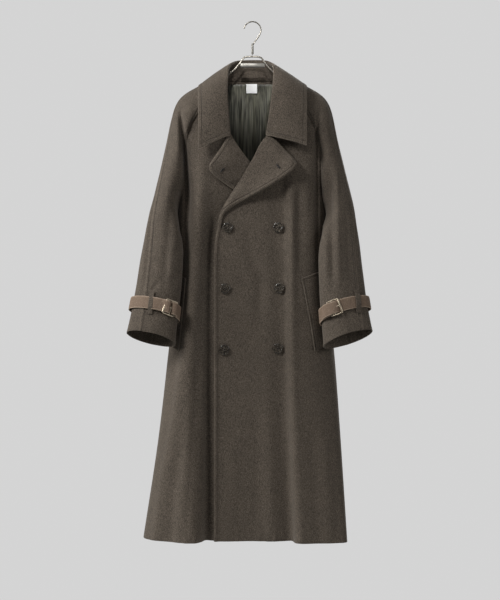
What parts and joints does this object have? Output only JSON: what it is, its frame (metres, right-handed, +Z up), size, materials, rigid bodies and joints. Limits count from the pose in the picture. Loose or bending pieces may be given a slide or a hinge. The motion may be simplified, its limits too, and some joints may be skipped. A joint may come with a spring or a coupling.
{
  "type": "overcoat on a wire hanger",
  "caption": "Long double-breasted wool overcoat with raglan sleeves, wide collar and lapels, and strapped cuffs, hanging open-hemmed on a bent wire hanger.",
  "frame": {"origin": "the point inside the top of the hanger's hook that rests on the rail, peg or nail that holds it", "axes": "+Z up along the hook's stem, +X to the wearer's left, the coat's front faces -Y"},
  "size_m": [0.5989, 0.2254, 1.2899],
  "materials": {
    "wool": "heathered brown-grey wool, lightly napped, matt",
    "lining": "dark olive satin with soft streaks of sheen",
    "label": "plain white woven label, matt",
    "webbing": "brown ribbed webbing, matt",
    "horn": "mottled brown horn, half gloss",
    "buckle": "dull antique plated metal",
    "hanger_wire": "bright drawn wire",
    "hanger_bar": "satin flat strip"
  },
  "bodies": {
    "root": {"back": "wool", "lining_back": "lining", "neck_label": "label", "front_left": "wool", "front_right": "wool", "sleeve_left_front": "wool", "sleeve_left_back": "wool", "sleeve_right_front": "wool", "sleeve_right_back": "wool", "lapel_left": "wool", "lapel_right": "wool", "collar": "wool", "button_1": "horn", "button_2": "horn", "button_3": "horn", "button_4": "horn", "button_5": "horn", "button_6": "horn", "welt_left": "wool", "welt_right": "wool", "strap_left": "webbing", "strap_right": "webbing", "strap_loop_left": "wool", "strap_loop_right": "wool", "buckle_left": "buckle", "buckle_right": "buckle", "hanger_arms": "hanger_wire", "hanger_hook": "hanger_wire", "hanger_bar": "hanger_bar"}
  },
  "joints": []
}
